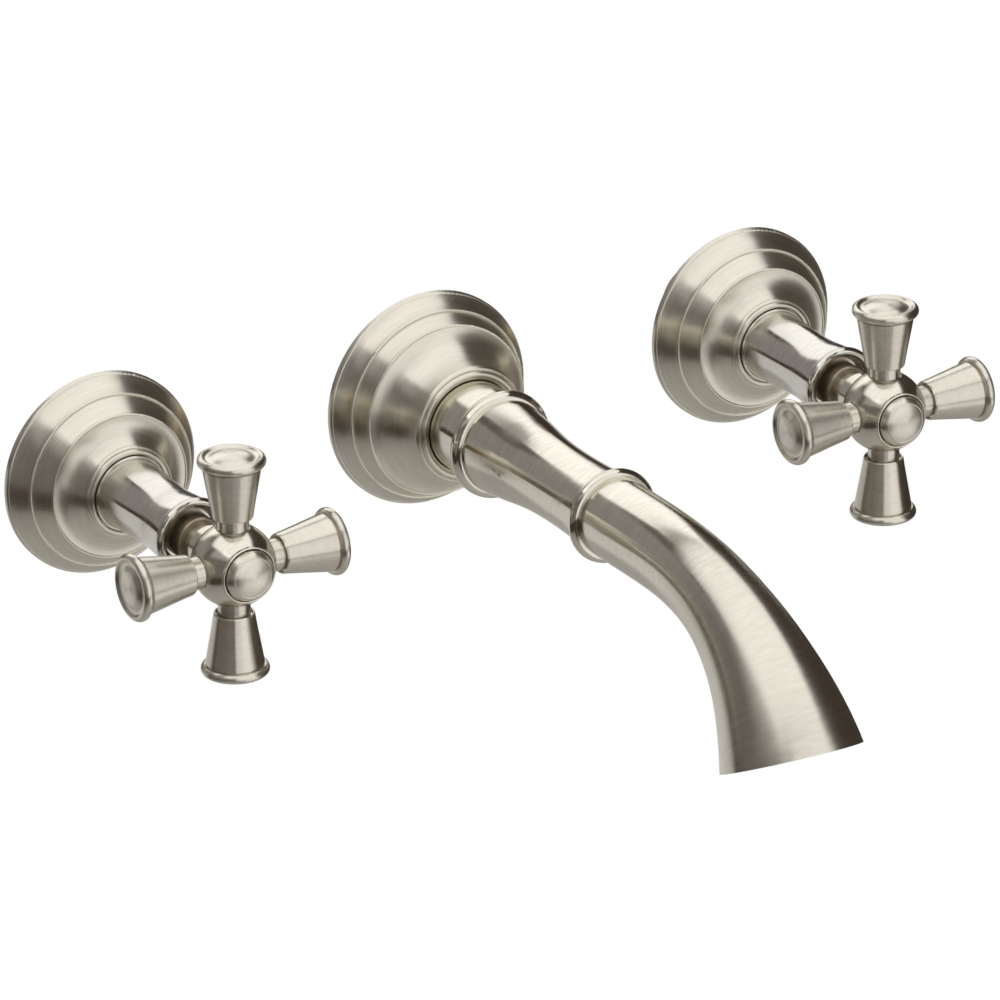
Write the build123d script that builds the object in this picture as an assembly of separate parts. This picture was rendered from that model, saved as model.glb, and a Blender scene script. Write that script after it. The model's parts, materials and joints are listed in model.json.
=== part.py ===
from build123d import *
import math
import os

# Wall mounted bath faucet: two cross handles and a spout, each on its own escutcheon.
# Millimetres, +Z up. The finished wall is the plane Y = 0 and the faucet reaches towards -Y.
# "out" is the distance from the wall into the room, so out = 10 is the plane Y = -10.
# Profiles are lists of (radius, out) corners turned about a station's own axis.

# --- driving dimensions ---
HANDLE_X = 101.6            # half of the 8 in distance between the handle centres
STATIONS = {"hot": -HANDLE_X, "cold": HANDLE_X}
SHELL = 1.8                 # wall of the drawn escutcheons

HANDLE_RIM_R = 28.6         # handle escutcheon
HANDLE_RING_1 = (24.3, 7.1)
HANDLE_RING_2 = (20.2, 12.1)
HANDLE_NECK = (13.0, 17.3)
HANDLE_HOLE_R = 8.6
SPOUT_RIM_R = 30.7          # spout escutcheon
SPOUT_RING_1 = (27.0, 6.7)
SPOUT_RING_2 = (24.3, 11.6)
SPOUT_NECK = (16.5, 24.0)
GASKET_T = 1.6              # foam gasket behind each escutcheon

LEDGE = 16.2                # ledge in the escutcheon neck that the sleeve's foot presses on
SLEEVE_FOOT_R = 10.7
SLEEVE_BASE_R = 10.1
SLEEVE_WAIST_R = 9.25
SLEEVE_BORE_R = 6.6
CUP_LIP = (9.55, 52.15)     # centre of the rolled bead round the cup's mouth
CUP_LIP_BEAD_R = 1.25
CUP_FLOOR = 50.0
BUSH_BACK = 40.5
BUSH_FRONT = 56.6

BODY_R = 13.0               # valve body in the wall
BODY_BACK = -20.5
BODY_FACE = 5.2
SEAT = -8.5
CHAMBER_R = 9.5
THREAD_HALF_INCH_R = 9.32   # bore of a G 1/2 female thread
INLET_DEPTH = 10.0
COPPER_HALF_INCH_R = 7.95   # outside of 1/2 in copper tube
OUTLET_OUT = -11.5          # axis of the outlet socket
OUTLET_BOSS_R = 10.4
OUTLET_END = 26.0           # the outlet's mouth, below the valve's axis
SOCKET_DEPTH = 12.0

FIXED_DISC = (-7.3, -4.62)  # ceramic discs: back and front faces
MOVING_DISC = (-4.6, -2.4)
DISC_R = 7.4
DRIVER_FRONT = 0.5          # the stem's driver plate, whose tabs sit in the moving disc
TAB_R = 0.9
TAB_X = 5.0
TAB_BACK = -3.6
SKIRT_R = 8.9
SKIRT_BORE_R = 8.0
BONNET_SEAT = 6.0           # back of the bonnet's hexagon
HEX_FRONT = 10.5
HEX_FLATS = 21.0
BARREL_R = 8.0
BARREL_TOP = 32.0
STEM_R = 4.0
RUNNING = 0.05              # radial clearance of a turning shaft
STEM_TOP = 44.0
STEM_GROOVE_R = 2.9
STEM_ORINGS = (5.0, 9.0)
CLIP_OUT = 32.75
CLIP_GROOVE_R = 3.3
CLIP_R = 5.6
EXTENSION_R = 5.0
EXTENSION_BACK = 34.0
EXTENSION_FRONT = 70.5

HUB_OUT = 74.3              # centre of the handle's ball
HUB_R = 11.35
COLLAR_R = 6.2
COLLAR_BACK = 60.6
SPLINE_R = 4.2
COUNTERBORE_R = 6.0
WEB_BACK = 70.5
WEB_FRONT = 73.5
BUTTON_SEAT = 79.0
BUTTON_R = 7.0
BUTTON_GAP = 0.3
BUTTON_GROOVE_R = 4.9
BUTTON_ORING = 78.0
BUTTON_PLUG_BACK = 76.9
SCREW_R = 2.0
SCREW_LENGTH = 18.0

ARM_SPIGOT_R = 3.0          # arms, measured from the centre of the ball
ARM_SPIGOT = 6.5
ARM_SEAT = 10.0
ARM_NECK_R = 4.35
ARM_CONE = 13.5
ARM_CAP = 28.0
ARM_END = 31.4

SPOUT_BACK = 12.0           # spout body
SPOUT_NECK_R = 13.0
BEAD_1 = (15.3, 40.4)
BEAD_2 = (13.25, 98.2)
TUBE_END = 104.0
SHANK_R = 10.0
SHANK_SHOULDER_R = 12.5
SHANK_FRONT = 50.0
SHANK_BORE_R = 6.5
SHANK_GROOVE = 1.8          # depth of the O-ring grooves, and thickness of their rings
SHANK_ORINGS = (40.0, 45.0)
SET_SCREW_R = 2.5
SET_SCREW_OUT = 33.0
ESCUTCHEON_ORING = 20.7
WATERWAY_R = 8.0
# the spout's bend, by distance along its axis from TUBE_END: its curvature grows
# evenly over BEND_EASE and then stays, and FLARE lists (distance, outer radius)
BEND_RADIUS = 61.0
BEND_EASE = (8.0, 48.6)
BEND_LENGTH = 97.0
FLARE = [(0, 11.15), (20, 11.1), (38, 11.15), (50, 11.6), (61, 12.75), (72, 14.4),
         (84.5, 16.8), (BEND_LENGTH, 19.15)]
FLARE_SECTIONS = 16
AERATOR_R = 13.4            # aerator: depths are measured back from the mouth
AERATOR_CORE_R = 11.4
AERATOR_FACE = 7.0
STRAIGHTENER_FACE = 7.8
RESTRICTOR_FACE = 12.0
WASHER_FACE = 13.0
AERATOR_DEPTH = 14.0


# --- shared shapes ---
def at(point):
    radius, out = point
    return Vector(radius, -out)


def turned(start, *steps, arc=360):
    """A solid turned about the Y axis. A step is a corner, a list of two points is an
    arc through the first to the second, and a longer list is a smooth curve."""
    edges = []
    here = start
    for step in (*steps, start):
        if isinstance(step, list) and len(step) == 2:
            edges.append(ThreePointArc(at(here), at(step[0]), at(step[1])))
            here = step[-1]
        elif isinstance(step, list):
            edges.append(Spline(at(here), *[at(point) for point in step]))
            here = step[-1]
        elif step != here:
            edges.append(Line(at(here), at(step)))
            here = step
    return revolve(make_face(edges), Axis.Y, arc)


def ring(inner, outer, back, front, arc=360):
    return turned((inner, back), (outer, back), (outer, front), (inner, front), arc=arc)


def rod(radius, back, front):
    return ring(0, radius, back, front)


def oring(radius, thickness, out):
    """An O-ring lying in a groove of the given floor radius."""
    return Pos(0, -out, 0) * Rot(90, 0, 0) * Torus(radius + thickness / 2, thickness / 2)


def groove(shaft_r, floor_r, width, out):
    return ring(floor_r, shaft_r + 1, out - width / 2, out + width / 2)


def hexagon(flats, back, front):
    face = Plane.XZ * RegularPolygon(flats / 2, 6, major_radius=False)
    return Pos(0, -back, 0) * extrude(face, front - back)


def around(solid, count, start=0.0):
    """Copies of a solid spaced evenly about the Y axis."""
    return [Rot(0, start + 360 * i / count, 0) * solid for i in range(count)]


def vertical_rod(radius, low, high, out):
    return Pos(0, -out, (low + high) / 2) * Cylinder(radius, high - low)


# --- escutcheons ---
def fine_ring(radius, out):
    """A fine raised ring where two slopes of an escutcheon meet."""
    return [[(radius + 0.4, out), (radius - 0.15, out + 0.15)], (radius - 0.35, out - 0.05)]


def stepped_face(rim, ring_1, ring_2):
    """The rim, a slightly hollowed flange, and a band between two fine rings."""
    (r1, o1), (r2, o2) = ring_1, ring_2
    flange = [((rim + r1) / 2 - 0.45, (o1 + 1.2) / 2 - 0.2), (r1 + 0.35, o1 - 0.5)]
    band = [((r1 + r2) / 2 - 0.1, (o1 + o2) / 2 - 0.35), (r2 + 0.35, o2 - 0.5)]
    return [(rim, 1.0), [(rim - 0.15, 1.5), (rim - 0.6, 1.75)], flange,
            *fine_ring(r1, o1), band, *fine_ring(r2, o2)]


def gasket_recess(rim):
    """The back of an escutcheon, from inside its shell out to the rim."""
    return [(rim - 4.0, GASKET_T + 1.0), (rim - 4.0, GASKET_T), (rim - SHELL, GASKET_T),
            (rim - SHELL, 0)]


def handle_escutcheon():
    neck_r, neck = HANDLE_NECK
    bell = [(16.6, 12.9), (14.3, 14.7), (neck_r - 0.1, neck - 0.9)]
    beads = [[(neck_r + 0.3, neck - 0.1), (neck_r - 0.25, neck + 0.55)], (neck_r - 0.5, neck + 0.35),
             [(neck_r - 0.95, neck + 1.0), (neck_r - 1.65, neck + 1.15)]]
    inside = [(HANDLE_HOLE_R, 14.6), (12.0, 14.0), (17.6, 10.2), (22.0, 5.8)]
    return turned((HANDLE_RIM_R, 0), *stepped_face(HANDLE_RIM_R, HANDLE_RING_1, HANDLE_RING_2),
                  bell, *beads, (11.0, neck + 0.9), (11.0, LEDGE), (HANDLE_HOLE_R, LEDGE),
                  *inside, *gasket_recess(HANDLE_RIM_R))


def spout_escutcheon():
    neck_r, neck = SPOUT_NECK
    bell = [(20.6, 13.5), (18.1, 16.9), (16.8, 20.6), (neck_r - 0.15, neck - 1.1)]
    beads = [[(neck_r + 0.35, neck), (neck_r - 0.5, neck + 0.75)], (neck_r - 0.8, neck + 0.5),
             [(neck_r - 1.3, neck + 1.35), (neck_r - 2.1, neck + 1.45)]]
    hole_r = SPOUT_NECK_R + 0.3
    ring_seat = [(hole_r, 21.4), (hole_r + 1.0, 21.4), (hole_r + 1.0, 20.0), (hole_r, 20.0)]
    inside = [(hole_r, 17.5), (16.0, 16.2), (18.8, 12.0), (22.4, 9.6), (24.6, 5.6)]
    return turned((SPOUT_RIM_R, 0), *stepped_face(SPOUT_RIM_R, SPOUT_RING_1, SPOUT_RING_2),
                  bell, *beads, (13.9, neck + 0.9), (hole_r, neck + 0.6),
                  *ring_seat, *inside, *gasket_recess(SPOUT_RIM_R))


def wall_gasket(rim):
    return ring(rim - 5.7, rim - SHELL - 0.2, 0, GASKET_T)


# --- valve in the wall ---
def valve_body():
    """Angle pattern body: the supply screws in at the back, the outlet points down."""
    shell = rod(BODY_R, BODY_BACK, BODY_FACE)
    boss = vertical_rod(OUTLET_BOSS_R, -OUTLET_END, 0, OUTLET_OUT)
    back_stop = ring(0, 40, BODY_BACK - 20, BODY_BACK)
    body = shell + (boss - back_stop)
    inlet = rod(THREAD_HALF_INCH_R, BODY_BACK, BODY_BACK + INLET_DEPTH)
    seat_hole = rod(5.4, BODY_BACK, SEAT)
    chamber = rod(CHAMBER_R, SEAT, BODY_FACE)
    socket = vertical_rod(COPPER_HALF_INCH_R, -OUTLET_END, SOCKET_DEPTH - OUTLET_END, OUTLET_OUT)
    passage = vertical_rod(2.6, -OUTLET_END + SOCKET_DEPTH - 1, -CHAMBER_R + 1.5, SEAT + 2.0)
    return body - inlet - seat_hole - chamber - socket - passage


def cartridge_housing():
    """Bonnet and cartridge case in one brass turning, with water windows in its skirt."""
    hexed = hexagon(HEX_FLATS, BONNET_SEAT, HEX_FRONT) - rod(STEM_R + RUNNING, 0, HEX_FRONT + 1)
    skirt = ring(SKIRT_BORE_R, SKIRT_R, SEAT, -1.0)
    thread = ring(SKIRT_BORE_R, CHAMBER_R, -1.0, 0.6)
    top = ring(STEM_R + RUNNING, CHAMBER_R, 0.6, BONNET_SEAT)
    barrel = ring(STEM_R + RUNNING, BARREL_R, HEX_FRONT, BARREL_TOP)
    windows = around(ring(SKIRT_BORE_R - 0.5, SKIRT_R + 0.5, -4.5, -1.8, arc=60), 4, 15)
    return (skirt + thread + top + hexed + barrel) - windows


def bonnet_gasket():
    return ring(CHAMBER_R, BODY_R - 0.6, BODY_FACE, BONNET_SEAT)


def seat_seal():
    return ring(5.6, SKIRT_BORE_R - 0.2, SEAT, FIXED_DISC[0])


def ceramic_disc(back, front, radius, turn):
    """A disc with two opposite quarter windows: the valve is open when a pair lines up."""
    windows = around(ring(2.4, 6.0, back, front, arc=76), 2, turn - 38)
    return rod(radius, back, front) - windows


def fixed_disc():
    return ceramic_disc(*FIXED_DISC, SKIRT_BORE_R - 0.1, 0)


def driver_tabs():
    return [Pos(x, 0, 0) * rod(TAB_R, TAB_BACK, MOVING_DISC[1]) for x in (-TAB_X, TAB_X)]


def moving_disc():
    return ceramic_disc(*MOVING_DISC, DISC_R, 90) - driver_tabs()


def cartridge_stem():
    driver = rod(DISC_R, MOVING_DISC[1], DRIVER_FRONT)
    shaft = rod(STEM_R, DRIVER_FRONT, STEM_TOP)
    grooves = [groove(STEM_R, STEM_GROOVE_R, 1.4, out) for out in STEM_ORINGS]
    clip_groove = groove(STEM_R, CLIP_GROOVE_R, 0.9, CLIP_OUT)
    return (driver + driver_tabs() + shaft) - grooves - clip_groove


def stem_orings():
    thickness = STEM_R + RUNNING - STEM_GROOVE_R
    return Compound(children=[oring(STEM_GROOVE_R, thickness, out) for out in STEM_ORINGS])


def retaining_clip():
    return ring(CLIP_GROOVE_R, CLIP_R, CLIP_OUT - 0.4, CLIP_OUT + 0.4, arc=290)


def stem_extension():
    """Carries the turn from the cartridge stem out to the handle."""
    blank = rod(EXTENSION_R, EXTENSION_BACK, COLLAR_BACK) + rod(SPLINE_R, COLLAR_BACK, EXTENSION_FRONT)
    socket = rod(STEM_R, EXTENSION_BACK, STEM_TOP)
    screw_hole = rod(SCREW_R, WEB_FRONT - SCREW_LENGTH - 1, EXTENSION_FRONT)
    return blank - socket - screw_hole


# --- sleeve and bush ---
def sleeve():
    """The column that clamps the escutcheon, flared at its front into an open cup."""
    foot = [(SLEEVE_FOOT_R, LEDGE), (SLEEVE_FOOT_R, 18.3), [(10.6, 18.6), (10.25, 18.7)]]
    bead_r, bead = CUP_LIP
    diagonal = CUP_LIP_BEAD_R * math.sqrt(0.5)
    column = [(SLEEVE_BASE_R, 19.5), (9.6, 26.0), (SLEEVE_WAIST_R, 35.0), (9.35, 41.0),
              (9.8, 46.0), (bead_r + 0.5, bead - 1.15)]
    lip = [[(bead_r + CUP_LIP_BEAD_R, bead - 0.1), (bead_r + diagonal, bead + diagonal)],
           [(bead_r, bead + CUP_LIP_BEAD_R), (bead_r - CUP_LIP_BEAD_R, bead)]]
    dish = [(bead_r - CUP_LIP_BEAD_R - 0.2, bead - 1.0), (7.3, CUP_FLOOR)]
    return turned((BARREL_R, LEDGE), *foot, column, *lip, dish, (SLEEVE_BORE_R, CUP_FLOOR),
                  (SLEEVE_BORE_R, BARREL_TOP), (BARREL_R, BARREL_TOP))


def stem_bush():
    """Guide for the turning extension, pressed into the sleeve and standing out of its cup."""
    inner = EXTENSION_R + RUNNING
    edge = 0.6
    return turned((inner, BUSH_BACK), (SLEEVE_BORE_R, BUSH_BACK), (SLEEVE_BORE_R, BUSH_FRONT - edge),
                  [(SLEEVE_BORE_R - 0.3 * edge, BUSH_FRONT - 0.3 * edge),
                   (SLEEVE_BORE_R - edge, BUSH_FRONT)], (inner, BUSH_FRONT))


# --- handle ---
def handle_hub():
    """Ball of the cross handle with its rear collar, front lip and four arm sockets."""
    ball_join = HUB_OUT - math.sqrt(HUB_R ** 2 - COLLAR_R ** 2)
    lip_r = BUTTON_R + BUTTON_GAP + 0.65
    lip_join = HUB_OUT + math.sqrt(HUB_R ** 2 - lip_r ** 2)
    lip_top = lip_join + 0.75
    hole_r = BUTTON_R + BUTTON_GAP
    ball = turned((SPLINE_R, COLLAR_BACK), (COLLAR_R - 0.3, COLLAR_BACK),
                  (COLLAR_R, COLLAR_BACK + 0.3), (COLLAR_R, ball_join),
                  [(HUB_R, HUB_OUT), (lip_r, lip_join)], (lip_r - 0.05, lip_top - 0.25),
                  [(lip_r - 0.3, lip_top), (hole_r, lip_top - 0.3)], (hole_r, BUTTON_SEAT),
                  (COUNTERBORE_R, BUTTON_SEAT), (COUNTERBORE_R, WEB_FRONT),
                  (SCREW_R + 0.2, WEB_FRONT), (SCREW_R + 0.2, WEB_BACK), (SPLINE_R, WEB_BACK))
    socket = rod(ARM_SPIGOT_R, ARM_SPIGOT, HUB_R + 1) + rod(ARM_NECK_R + 0.25, ARM_SEAT, HUB_R + 1)
    sockets = [Pos(0, -HUB_OUT, 0) * Rot(0, turn, 0) * Rot(-90, 0, 0) * socket
               for turn in (0, 90, 180, 270)]
    return ball - sockets


def arm():
    """A trumpet-shaped arm: spigot, neck, flared cone, rolled cap bead and domed end."""
    neck = [(ARM_SPIGOT_R, ARM_SPIGOT), (ARM_SPIGOT_R, ARM_SEAT), (ARM_NECK_R, ARM_SEAT),
            (ARM_NECK_R, ARM_CONE + 0.7), (4.95, ARM_CONE + 0.7), (4.95, ARM_CONE + 0.1)]
    cone = [(5.95, ARM_CONE + 3.3), (6.72, ARM_CONE + 7.7), (7.42, ARM_CONE + 11.7),
            (7.85, ARM_CAP - 0.25)]
    cap_groove = [(7.4, ARM_CAP - 0.15), (7.4, ARM_CAP + 0.2), (8.2, ARM_CAP + 0.2)]
    bead = [(9.15, ARM_CAP + 1.35), (8.35, ARM_CAP + 2.75)]
    end = [(7.9, ARM_CAP + 2.85), (7.0, ARM_CAP + 2.4), (5.0, ARM_CAP + 2.85),
           (2.5, ARM_END - 0.12), (0, ARM_END)]
    return turned((0, ARM_SPIGOT), *neck, (5.3, ARM_CONE), (5.5, ARM_CONE + 0.4), cone,
                  *cap_groove, bead, end)


def placed_arm(turn):
    return Pos(0, -HUB_OUT, 0) * Rot(0, turn, 0) * Rot(-90, 0, 0) * arm()


def handle_screw():
    head_r, head_t, hex_flats = 3.6, 2.8, 2.5
    head_front = WEB_FRONT + head_t
    screw = rod(SCREW_R, WEB_FRONT - SCREW_LENGTH, WEB_FRONT) + rod(head_r, WEB_FRONT, head_front)
    return screw - hexagon(hex_flats, WEB_FRONT + 1.2, head_front)


def index_button():
    plug_r = COUNTERBORE_R - 0.1
    groove_back, groove_front = BUTTON_ORING - 0.65, BUTTON_ORING + 0.65
    plug = [(plug_r, BUTTON_PLUG_BACK), (plug_r, groove_back), (BUTTON_GROOVE_R, groove_back),
            (BUTTON_GROOVE_R, groove_front), (plug_r, groove_front), (plug_r, BUTTON_SEAT)]
    dome = [(3.8, 85.6), (1.9, 85.9), (0, 86.0)]
    return turned((0, BUTTON_PLUG_BACK), *plug, (BUTTON_R, BUTTON_SEAT), (BUTTON_R, 82.9),
                  [(6.6, 84.3), (5.6, 85.15)], (5.4, 85.1), dome)


def button_oring():
    return oring(BUTTON_GROOVE_R, COUNTERBORE_R - BUTTON_GROOVE_R, BUTTON_ORING)


# --- spout ---
def bend_angle(distance):
    """Downward slope of the spout's axis, in radians, at a distance along it."""
    start, end = BEND_EASE
    eased = min(max(distance - start, 0), end - start)
    steady = max(distance - end, 0)
    return (eased ** 2 / (2 * (end - start)) + steady) / BEND_RADIUS


def bend_point(distance):
    """How far out and how high the spout's axis is, at a distance along it."""
    steps = 200
    angles = [bend_angle(distance * (i + 0.5) / steps) for i in range(steps)]
    out = TUBE_END + sum(math.cos(angle) for angle in angles) * distance / steps
    return out, -sum(math.sin(angle) for angle in angles) * distance / steps


def section(distance, radius):
    """A round section of the spout, square to its axis."""
    out, z = bend_point(distance)
    angle = bend_angle(distance)
    forward = Vector(0, -math.cos(angle), -math.sin(angle))
    plane = Plane(origin=(0, -out, z), x_dir=(1, 0, 0), z_dir=forward)
    return plane * Circle(radius)


def flared_bend():
    """The solid outside of the bent part, through even sections of a smooth flare."""
    profile = Spline(*[Vector(distance, radius) for distance, radius in FLARE])
    points = [profile @ (i / FLARE_SECTIONS) for i in range(FLARE_SECTIONS + 1)]
    return loft([section(point.X, point.Y) for point in points])


def mouth_frame():
    """A location at the mouth whose -Y axis points out of it, along the water."""
    out, z = bend_point(BEND_LENGTH)
    return Pos(0, -out, z) * Rot(math.degrees(bend_angle(BEND_LENGTH)), 0, 0)


def spout_body():
    """One hollow casting: straight tube with two beads, bent down and flared to its mouth."""
    bead_1_r, bead_1 = BEAD_1
    bead_2_r, bead_2 = BEAD_2
    tube_1 = [(12.9, 46.5), (12.0, 54.5), (11.05, 62.0), (10.55, 69.5), (10.45, 77.0),
              (10.65, 86.0), (11.2, bead_2 - 1.8)]
    bead_2_foot = bead_2_r - 1.35
    tube_2_r = FLARE[0][1]
    straight = turned((0, SPOUT_BACK), (SPOUT_NECK_R, SPOUT_BACK), (SPOUT_NECK_R, bead_1 - 2.3),
                      [(bead_1_r, bead_1), (13.25, bead_1 + 2.0)], tube_1,
                      (bead_2_foot, bead_2 - 1.65), [(bead_2_r, bead_2), (bead_2_foot, bead_2 + 1.65)],
                      (tube_2_r, bead_2 + 1.7), (tube_2_r, TUBE_END), (0, TUBE_END))
    channel_end = BEND_LENGTH - AERATOR_DEPTH
    channel = loft([section(channel_end * i / 6, WATERWAY_R + 2.5 * i / 6) for i in range(7)])
    bore = rod(SHANK_R, SPOUT_BACK, SHANK_FRONT)
    taper = turned((0, SHANK_FRONT), (SHANK_R, SHANK_FRONT), (WATERWAY_R, SHANK_FRONT + 6),
                   (WATERWAY_R, TUBE_END), (0, TUBE_END))
    lip_r = FLARE[-1][1] - 1.3
    mouth = turned((0, -AERATOR_DEPTH - 0.5), (AERATOR_R, -AERATOR_DEPTH - 0.5),
                   (AERATOR_R, -AERATOR_FACE), (AERATOR_R + 1.1, -AERATOR_FACE),
                   [(AERATOR_R + 2.4, -3.0), (lip_r, 0)], (lip_r, 1), (0, 1))
    screw_hole = vertical_rod(SET_SCREW_R, -SPOUT_NECK_R - 1, -SHANK_R + 1, SET_SCREW_OUT)
    solid = straight + flared_bend()
    return solid - channel - bore - taper - mouth_frame() * mouth - screw_hole


def spout_shank():
    """Brass shank: screws onto the supply stub in the wall, and the spout slides over it."""
    shoulder = rod(SHANK_SHOULDER_R, BODY_BACK, SPOUT_BACK)
    shaft = rod(SHANK_R, SPOUT_BACK, SHANK_FRONT)
    inlet = rod(THREAD_HALF_INCH_R, BODY_BACK, BODY_BACK + INLET_DEPTH)
    waterway = rod(SHANK_BORE_R, BODY_BACK, SHANK_FRONT)
    grooves = [groove(SHANK_R, SHANK_R - SHANK_GROOVE, 2.4, out) for out in SHANK_ORINGS]
    screw_groove = groove(SHANK_R, SHANK_R - 0.8, 2 * SET_SCREW_R + 1, SET_SCREW_OUT)
    return (shoulder + shaft) - inlet - waterway - grooves - screw_groove


def shank_orings():
    return Compound(children=[oring(SHANK_R - SHANK_GROOVE, SHANK_GROOVE, out)
                              for out in SHANK_ORINGS])


def escutcheon_oring():
    return oring(SPOUT_NECK_R, 1.2, ESCUTCHEON_ORING)


def spout_set_screw():
    """Grub screw in the underside of the neck, hidden between escutcheon and bead."""
    bottom, top = -SPOUT_NECK_R + 0.6, -SHANK_R + 0.8
    key = extrude(RegularPolygon(1.25, 6, major_radius=False), 1.6)
    return vertical_rod(SET_SCREW_R, bottom, top, SET_SCREW_OUT) - Pos(0, -SET_SCREW_OUT, bottom) * key


def aerator_housing():
    slot = Box(AERATOR_R - AERATOR_CORE_R + 1.4, 1.4, 2.2)
    slots = around(Pos((AERATOR_R + AERATOR_CORE_R) / 2, AERATOR_FACE + 0.6, 0) * slot, 4)
    case = ring(AERATOR_CORE_R, AERATOR_R, -WASHER_FACE, -AERATOR_FACE) - slots
    return mouth_frame() * case


def honeycomb(pitch, hole_r, reach):
    """Centres of a triangular grid of holes inside a circle."""
    count = int(reach / pitch) + 1
    centres = []
    for row in range(-count, count + 1):
        for column in range(-count, count + 1):
            x = pitch * (column + 0.5 * (row % 2))
            z = pitch * row * math.sqrt(3) / 2
            if math.hypot(x, z) + hole_r < reach:
                centres.append((x, z))
    return centres


def aerator_insert():
    """Plastic flow straightener with a honeycomb of straight channels."""
    pitch, flats = 2.6, 2.0
    plate = rod(AERATOR_CORE_R, -RESTRICTOR_FACE, -STRAIGHTENER_FACE)
    holes = [Pos(x, 0, z) * hexagon(flats, -RESTRICTOR_FACE, -STRAIGHTENER_FACE)
             for x, z in honeycomb(pitch, 0.6 * flats, AERATOR_CORE_R - 0.5)]
    return mouth_frame() * (plate - holes)


def flow_restrictor():
    plate = rod(AERATOR_CORE_R, -WASHER_FACE, -RESTRICTOR_FACE)
    holes = around(Pos(6.5, 0, 0) * rod(1.3, -WASHER_FACE, -RESTRICTOR_FACE), 6)
    return mouth_frame() * (plate - holes)


def aerator_washer():
    return mouth_frame() * ring(10.6, AERATOR_R - 0.1, -AERATOR_DEPTH, -WASHER_FACE)


# --- the assembly ---
def handle_parts(side):
    """Every piece of one handle station, by name, still centred on the spout's axis."""
    turns = {"up": 0, "right": 90, "down": 180, "left": 270}
    pieces = {
        "escutcheon": handle_escutcheon(),
        "wall_gasket": wall_gasket(HANDLE_RIM_R),
        "sleeve": sleeve(),
        "stem_bush": stem_bush(),
        "valve_body": valve_body(),
        "bonnet_gasket": bonnet_gasket(),
        "cartridge_housing": cartridge_housing(),
        "seat_seal": seat_seal(),
        "fixed_disc": fixed_disc(),
        "moving_disc": moving_disc(),
        "cartridge_stem": cartridge_stem(),
        "stem_orings": stem_orings(),
        "retaining_clip": retaining_clip(),
        "stem_extension": stem_extension(),
        "handle_hub": handle_hub(),
        "handle_screw": handle_screw(),
        "index_button": index_button(),
        "button_oring": button_oring(),
    }
    for name, turn in turns.items():
        pieces[f"arm_{name}"] = placed_arm(turn)
    return {f"{side}_{name}": piece for name, piece in pieces.items()}


def spout_parts():
    return {
        "spout_escutcheon": spout_escutcheon(),
        "spout_wall_gasket": wall_gasket(SPOUT_RIM_R),
        "escutcheon_oring": escutcheon_oring(),
        "spout_body": spout_body(),
        "spout_shank": spout_shank(),
        "shank_orings": shank_orings(),
        "spout_set_screw": spout_set_screw(),
        "aerator_housing": aerator_housing(),
        "aerator_insert": aerator_insert(),
        "flow_restrictor": flow_restrictor(),
        "aerator_washer": aerator_washer(),
    }


def main():
    os.makedirs("parts", exist_ok=True)
    for side, x in STATIONS.items():
        for name, piece in handle_parts(side).items():
            export_step(Pos(x, 0, 0) * piece, f"parts/{name}.step")
    for name, piece in spout_parts().items():
        export_step(piece, f"parts/{name}.step")


main()
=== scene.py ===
import json
import math

import bpy
from mathutils import Matrix, Vector


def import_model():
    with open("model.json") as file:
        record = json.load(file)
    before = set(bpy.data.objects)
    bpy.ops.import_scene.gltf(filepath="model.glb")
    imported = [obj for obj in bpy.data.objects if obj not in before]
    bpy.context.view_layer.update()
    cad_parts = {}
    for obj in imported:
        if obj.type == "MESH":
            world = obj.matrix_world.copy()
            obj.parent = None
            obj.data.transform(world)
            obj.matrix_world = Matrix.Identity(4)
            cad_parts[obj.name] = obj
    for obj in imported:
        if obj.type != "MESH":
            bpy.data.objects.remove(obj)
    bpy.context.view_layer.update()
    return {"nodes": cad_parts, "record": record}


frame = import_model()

# Metres. The wall is the plane Y = 0, the room is at -Y, +Z is up.

AXES = {"x": (1, 0, 0), "y": (0, 1, 0), "z": (0, 0, 1)}
STATIONS = {"hot": (-0.1016, 0, 0), "cold": (0.1016, 0, 0), "spout": (0, 0, 0)}
HUB_OUT = 0.0743                    # a handle's ball, from the wall

# The spout's axis, for its finish only: it leaves the wall along -Y, and past BEND_OUT it
# follows an arc of BEND_RADIUS about a point under it.
BEND_OUT = 0.130
BEND_RADIUS = 0.064
BRUSHED_FROM = (0.008, 0.030)       # past BEND_OUT, where the spout goes from polished to brushed

# Nickel's colour in a line's hollow and on its top.
NICKEL = {"dark": (0.69, 0.66, 0.57), "light": (0.82, 0.79, 0.695)}
BRIGHT_NICKEL = {"dark": (0.67, 0.65, 0.59), "light": (0.79, 0.77, 0.71)}

# Finishes: how rough the metal is on average and how deep its lines are. With its spread, a
# finish's roughness stays on one side of about 0.27, as one that crosses it renders grainy.
POLISHED = {**BRIGHT_NICKEL, "roughness": 0.15, "depth": 0.000001, "anisotropy": 0.6}
BRUSHED = {**NICKEL, "roughness": 0.31, "depth": 0.000005, "anisotropy": 0.8}
SATIN = {**NICKEL, "roughness": 0.21, "depth": 0.000003, "anisotropy": 0.5}
ROUGHNESS_SPREAD = 0.03
QUARTER_TURN = 0.25                 # of anisotropy: highlights stretch across the lines

# The lathe's lines are two noises added by weight: pitch is a line's width, and spread how
# often it changes on its way round.
LINES = ({"pitch": 0.0009, "spread": 2.0, "detail": 3.0, "weight": 0.6},
         {"pitch": 0.0004, "spread": 5.0, "detail": 1.0, "weight": 0.4})

NOISE_SPAN = (0.3, 0.7)             # most of a noise's values lie between these
GRAIN_DETAIL = 4.0
GRAIN_BUMP = 0.4

# The Map Range node's vector sockets: from min, from max, to min, to max.
VECTOR_RANGE = (7, 8, 9, 10)

FLOOR_SIZE = 4.2
FLOOR_HEIGHT = -1.5
FLOOR_GLOW = 0.5                    # light that only the camera sees


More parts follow.
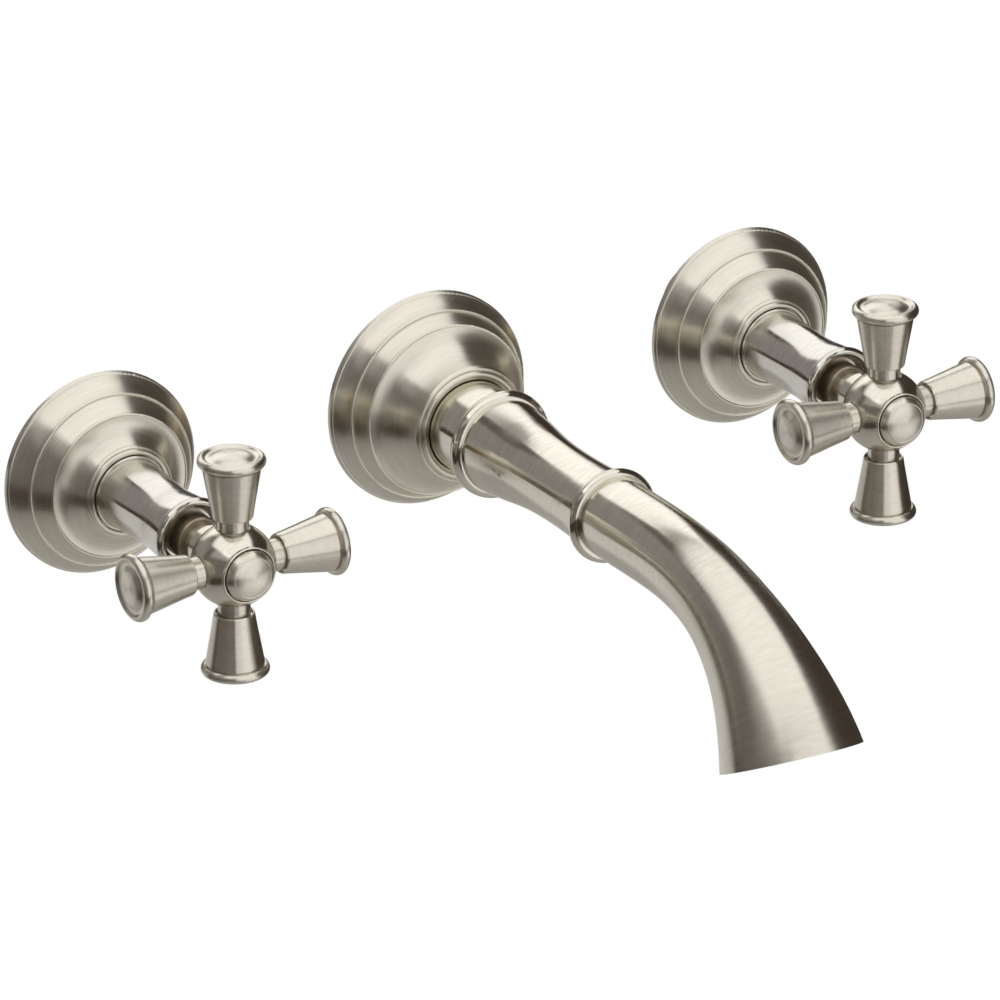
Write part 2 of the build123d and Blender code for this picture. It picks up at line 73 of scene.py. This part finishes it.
# --- material graphs ---
class Graph:
    """A material being built. The methods that make a value add a node and return its output."""

    def __init__(self, name):
        self.material = bpy.data.materials.new(name)
        self.material.use_nodes = True
        self.tree = self.material.node_tree
        self.shader = self.tree.nodes["Principled BSDF"]

    def feed(self, socket, value):
        """Links a socket to another node's output, or sets it to a plain value."""
        if isinstance(value, bpy.types.NodeSocket):
            self.tree.links.new(value, socket)
        else:
            socket.default_value = value

    def set(self, name, value):
        """Feeds one of the shader's own inputs."""
        self.feed(self.shader.inputs[name], value)

    def math(self, operation, *values):
        node = self.tree.nodes.new("ShaderNodeMath")
        node.operation = operation
        for socket, value in zip(node.inputs, values):
            self.feed(socket, value)
        return node.outputs[0]

    def vector(self, operation, *values):
        node = self.tree.nodes.new("ShaderNodeVectorMath")
        node.operation = operation
        for socket, value in zip(node.inputs, values):
            self.feed(socket, value)
        scalar = operation in ("DOT_PRODUCT", "LENGTH")
        return node.outputs["Value" if scalar else "Vector"]

    def scaled(self, vector, factor):
        node = self.tree.nodes.new("ShaderNodeVectorMath")
        node.operation = "SCALE"
        self.feed(node.inputs[0], vector)
        self.feed(node.inputs["Scale"], factor)
        return node.outputs[0]

    def combined(self, x, y, z):
        node = self.tree.nodes.new("ShaderNodeCombineXYZ")
        for socket, value in zip(node.inputs, (x, y, z)):
            self.feed(socket, value)
        return node.outputs[0]

    def separated(self, vector):
        node = self.tree.nodes.new("ShaderNodeSeparateXYZ")
        self.feed(node.inputs[0], vector)
        return tuple(node.outputs)

    def position(self):
        return self.tree.nodes.new("ShaderNodeTexCoord").outputs["Object"]

    def noise(self, vector, scale, detail, w=None):
        """Noise over three coordinates, or over four where there is a w."""
        node = self.tree.nodes.new("ShaderNodeTexNoise")
        node.noise_dimensions = "3D" if w is None else "4D"
        self.feed(node.inputs["Vector"], vector)
        self.feed(node.inputs["Scale"], scale)
        self.feed(node.inputs["Detail"], detail)
        if w is not None:
            self.feed(node.inputs["W"], w)
        return node.outputs["Fac"]

    def ramp(self, factor, low, high, start=0.0, end=1.0):
        """Maps a factor between start and end to a value or colour between low and high."""
        node = self.tree.nodes.new("ShaderNodeMapRange")
        if isinstance(low, tuple):
            node.data_type = "FLOAT_VECTOR"
            self.feed(node.inputs["Vector"], self.combined(factor, factor, factor))
            for index, value in zip(VECTOR_RANGE, ((start,) * 3, (end,) * 3, low, high)):
                self.feed(node.inputs[index], value)
            return node.outputs["Vector"]
        for socket, value in zip(node.inputs, (factor, start, end, low, high)):
            self.feed(socket, value)
        return node.outputs["Result"]

    def bump(self, height, strength, distance):
        node = self.tree.nodes.new("ShaderNodeBump")
        self.feed(node.inputs["Strength"], strength)
        self.feed(node.inputs["Distance"], distance)
        self.feed(node.inputs["Height"], height)
        self.set("Normal", node.outputs[0])

    def grain(self, dark, light, scale, roughness):
        """Lets colour and roughness wander a little over the surface."""
        grain = self.noise(self.position(), scale, GRAIN_DETAIL)
        self.set("Base Color", self.ramp(grain, dark, light, *NOISE_SPAN))
        self.set("Roughness", self.ramp(grain, *roughness, *NOISE_SPAN))
        return grain


def straight_axis(g, centre, axis):
    """A point's place on a piece turned about a straight axis: how far along it, how far out,
    which way out (two numbers), and the way that the lathe's lines run there."""
    place = g.vector("SUBTRACT", g.position(), centre)
    along = g.vector("DOT_PRODUCT", place, axis)
    radial = g.vector("SUBTRACT", place, g.scaled(axis, along))
    outward = g.vector("NORMALIZE", radial)
    side = g.vector("DOT_PRODUCT", outward, (axis[1], axis[2], axis[0]))
    rise = g.vector("DOT_PRODUCT", outward, (axis[2], axis[0], axis[1]))
    return along, g.vector("LENGTH", radial), side, rise, g.vector("CROSS_PRODUCT", axis, place)


def bent_axis(g):
    """The same on the spout, whose axis runs out from the wall and then bends down, close to an
    arc that starts BEND_OUT from the wall. Here, along is counted from BEND_OUT."""
    x, y, z = g.separated(g.position())
    past = g.math("SUBTRACT", g.math("MULTIPLY", y, -1.0), BEND_OUT)
    forward = g.math("MAXIMUM", past, 0.0)
    above = g.math("ADD", z, BEND_RADIUS)
    angle = g.math("ARCTAN2", forward, above)
    along = g.math("ADD", g.math("MINIMUM", past, 0.0), g.math("MULTIPLY", angle, BEND_RADIUS))
    lift = g.math("SUBTRACT", g.vector("LENGTH", g.combined(0.0, forward, above)), BEND_RADIUS)
    radial = g.combined(x, lift, 0.0)
    side, rise, _ = g.separated(g.vector("NORMALIZE", radial))
    lines = g.combined(g.math("MULTIPLY", lift, -1.0),
                       g.math("MULTIPLY", x, g.math("MULTIPLY", g.math("SINE", angle), -1.0)),
                       g.math("MULTIPLY", x, g.math("COSINE", angle)))
    return along, g.vector("LENGTH", radial), side, rise, lines


def turned_nickel(name, centre, axis, finish=BRUSHED, fade=None):
    """Nickel with fine lines running round the given axis, as a lathe leaves them. Where there
    is a fade, they run round the spout's own bent axis instead, and fade gives the two
    distances along it between which the finish goes over from polished to this one."""
    g = Graph(name)
    along, radius, side, rise, direction = bent_axis(g) if fade else straight_axis(g, centre, axis)

    def rings(pitch, spread, detail, weight):
        """Noise that changes quickly from line to line and slowly along each line."""
        fine = g.combined(g.math("DIVIDE", along, pitch), g.math("DIVIDE", radius, pitch),
                          g.math("MULTIPLY", side, spread))
        noise = g.noise(fine, 1.0, detail, w=g.math("MULTIPLY", rise, spread))
        return g.math("MULTIPLY", noise, weight)

    lines = g.math("ADD", *(rings(**kind) for kind in LINES))
    g.set("Base Color", g.ramp(lines, finish["dark"], finish["light"], *NOISE_SPAN))
    roughness = g.ramp(lines, finish["roughness"] - ROUGHNESS_SPREAD,
                       finish["roughness"] + ROUGHNESS_SPREAD, *NOISE_SPAN)
    depth = finish["depth"]
    if fade:
        amount = g.ramp(along, 0.0, 1.0, *fade)
        added = g.math("SUBTRACT", roughness, POLISHED["roughness"])
        roughness = g.math("ADD", POLISHED["roughness"], g.math("MULTIPLY", amount, added))
        depth = g.ramp(amount, POLISHED["depth"], finish["depth"])
    g.set("Roughness", roughness)
    g.bump(lines, 1.0, depth)
    g.set("Tangent", g.vector("NORMALIZE", direction))
    g.set("Metallic", 1.0)
    g.set("Anisotropic", finish["anisotropy"])
    g.set("Anisotropic Rotation", QUARTER_TURN)
    return g.material


def plain(name, dark, light, scale, roughness, metallic=0.0, bump=0.0):
    """A material with a little grain, and with a relief of that depth where there is a bump."""
    g = Graph(name)
    grain = g.grain(dark, light, scale, roughness)
    g.set("Metallic", metallic)
    if bump:
        g.bump(grain, GRAIN_BUMP, bump)
    return g.material


# --- camera ---
def rig_camera():
    """A long lens above and to the left of the faucet, looking down along it."""
    azimuth, elevation, roll = (math.radians(a) for a in (-30.62, 22.89, -0.34))
    aim_right, aim_up, distance = 0.02052, -0.02843, 2.39933
    right = Vector((math.cos(azimuth), math.sin(azimuth), 0))
    back = Vector((math.sin(azimuth) * math.cos(elevation),
                   -math.cos(azimuth) * math.cos(elevation), math.sin(elevation)))
    up = back.cross(right)
    tilted_right = math.cos(roll) * right + math.sin(roll) * up
    tilted_up = math.cos(roll) * up - math.sin(roll) * right
    data = bpy.data.cameras.new("camera")
    data.sensor_width = 36
    data.lens = 315.1
    data.clip_start, data.clip_end = 0.1, 50
    camera = bpy.data.objects.new("camera", data)
    bpy.context.collection.objects.link(camera)
    axes = Matrix((tilted_right, tilted_up, back)).transposed()
    camera.matrix_world = axes.to_4x4()
    camera.location = aim_right * tilted_right + aim_up * tilted_up + distance * back
    bpy.context.scene.camera = camera


# --- lights ---
def panel(name, position, size, radiance, aim=None):
    """A flat soft light; radiance is how bright it looks where the metal mirrors it. It looks
    level towards the Z axis, unless there is an aim."""
    data = bpy.data.lights.new(name, "AREA")
    data.shape = "RECTANGLE"
    data.size, data.size_y = size
    data.energy = radiance * math.pi * size[0] * size[1]
    lamp = bpy.data.objects.new(name, data)
    bpy.context.collection.objects.link(lamp)
    lamp.location = position
    towards = Vector(position) - Vector(aim or (0, 0, position[2]))
    lamp.rotation_mode = "QUATERNION"
    lamp.rotation_quaternion = towards.to_track_quat("Z", "Y")
    lamp.visible_camera = False


def lights():
    """A ceiling of light, a wide window in front with a low strip to its right, and a bright
    wall behind to the right over a long, dimmer strip. The left is dim, the right dark."""
    panel("ceiling", (-0.1, -0.2, 1.7), (3.0, 2.6), 1.12, aim=(-0.1, -0.2, 0))
    panel("window", (0.34, -2.17, 0.8), (3.2, 2.8), 0.96)
    panel("window_low", (0.95, -1.70, -1.05), (1.9, 0.85), 0.95)
    panel("left_high", (-2.0, -0.93, 1.9), (3.6, 1.3), 0.36)
    panel("left_low", (-2.3, -0.65, 0.3), (3.8, 1.9), 0.11)
    panel("behind_high", (0.52, 2.24, 1.6), (2.4, 2.0), 1.25)
    panel("behind_left", (-1.4, 1.83, 0.9), (1.9, 1.8), 0.22)
    panel("behind_low", (-0.1, 2.15, -1.0), (4.3, 1.3), 0.60)


def world():
    """White to the camera, and a dim warm grey to everything that it lights."""
    w = bpy.data.worlds.new("studio")
    bpy.context.scene.world = w
    w.use_nodes = True
    nodes, links = w.node_tree.nodes, w.node_tree.links
    nodes.clear()
    seen = nodes.new("ShaderNodeBackground")
    seen.inputs["Color"].default_value = (1, 1, 1, 1)
    felt = nodes.new("ShaderNodeBackground")
    felt.inputs["Color"].default_value = (0.052, 0.040, 0.031, 1)
    path = nodes.new("ShaderNodeLightPath")
    mix = nodes.new("ShaderNodeMixShader")
    out = nodes.new("ShaderNodeOutputWorld")
    links.new(path.outputs["Is Camera Ray"], mix.inputs[0])
    links.new(felt.outputs[0], mix.inputs[1])
    links.new(seen.outputs[0], mix.inputs[2])
    links.new(mix.outputs[0], out.inputs[0])


def floor_paint():
    """Pale paint that the camera sees lit almost to white, like a studio sweep."""
    g = Graph("floor_paint")
    g.grain((0.74, 0.73, 0.71), (0.80, 0.79, 0.77), 3, (0.7, 0.8))
    seen = g.tree.nodes.new("ShaderNodeLightPath").outputs["Is Camera Ray"]
    g.set("Emission Color", (1, 1, 1, 1))
    g.set("Emission Strength", g.math("MULTIPLY", seen, FLOOR_GLOW))
    return g.material


def floor():
    """A pale floor, far enough below to leave the faucet's own outline clear."""
    bpy.ops.mesh.primitive_plane_add(size=FLOOR_SIZE, location=(0, 0, FLOOR_HEIGHT))
    ground = bpy.context.object
    ground.name = "floor"
    ground.data.materials.append(floor_paint())


# --- the faucet's materials ---
def plated_materials():
    """Every plated finish, by the key that plated_key gives a node."""
    nickel = {}
    for side in ("hot", "cold"):
        centre = STATIONS[side]
        hub = (centre[0], -HUB_OUT, 0)
        for key, origin, axis, finish in ((side, centre, "y", BRUSHED),
                                          (side + "_sleeve", centre, "y", POLISHED),
                                          (side + "_ball", hub, "y", SATIN),
                                          (side + "_x", hub, "x", BRUSHED),
                                          (side + "_z", hub, "z", BRUSHED)):
            nickel[key] = turned_nickel("nickel_" + key, origin, AXES[axis], finish)
    nickel["spout"] = turned_nickel("nickel_spout", STATIONS["spout"], AXES["y"])
    nickel["spout_body"] = turned_nickel("nickel_spout_body", STATIONS["spout"], AXES["y"],
                                         fade=BRUSHED_FROM)
    return nickel


def plated_key(node):
    """Which plated finish a node has."""
    side = node.split("_")[0]
    if node.endswith(("_sleeve", "spout_body")):
        return node
    key = side if side in ("hot", "cold") else "spout"
    if node.endswith(("_hub", "_extension")):
        key += "_ball"
    if "_arm_" in node:
        key += "_z" if node.endswith(("up", "down")) else "_x"
    return key


def dress():
    """Gives every CAD node its material. The stem extensions, which show in the open cups, are
    plated like the balls, whatever their slot says."""
    nickel = plated_materials()
    others = {
        "brass": plain("brass", (0.55, 0.36, 0.13), (0.70, 0.50, 0.21), 900, (0.25, 0.40), 1.0),
        "steel": plain("steel", (0.50, 0.50, 0.51), (0.62, 0.62, 0.63), 1200, (0.25, 0.35), 1.0),
        "rubber": plain("rubber", (0.012, 0.012, 0.012), (0.03, 0.03, 0.03), 2500, (0.6, 0.8),
                        bump=1e-5),
        "foam": plain("foam", (0.03, 0.03, 0.03), (0.09, 0.09, 0.09), 2500, (0.85, 0.95),
                      bump=8e-5),
        "ceramic": plain("ceramic", (0.78, 0.77, 0.73), (0.86, 0.85, 0.82), 700, (0.15, 0.25)),
        "bronze": plain("bronze", (0.38, 0.32, 0.25), (0.44, 0.37, 0.29), 600, (0.34, 0.42), 1.0),
        "aerator_plastic": plain("acetal_white", (0.68, 0.68, 0.66), (0.78, 0.78, 0.76), 600,
                                 (0.35, 0.5)),
        "restrictor_plastic": plain("acetal_blue", (0.10, 0.2, 0.36), (0.14, 0.27, 0.45), 600,
                                    (0.35, 0.5)),
    }
    slots = {part["node"]: part["material_slot"] for part in frame["record"]["subparts"]}
    for node, obj in frame["nodes"].items():
        material = None if node.endswith("_extension") else others.get(slots[node])
        for slot in obj.material_slots:
            slot.material = material or nickel[plated_key(node)]


dress()
rig_camera()
world()
lights()
floor()
bpy.context.scene.view_settings.view_transform = "Standard"
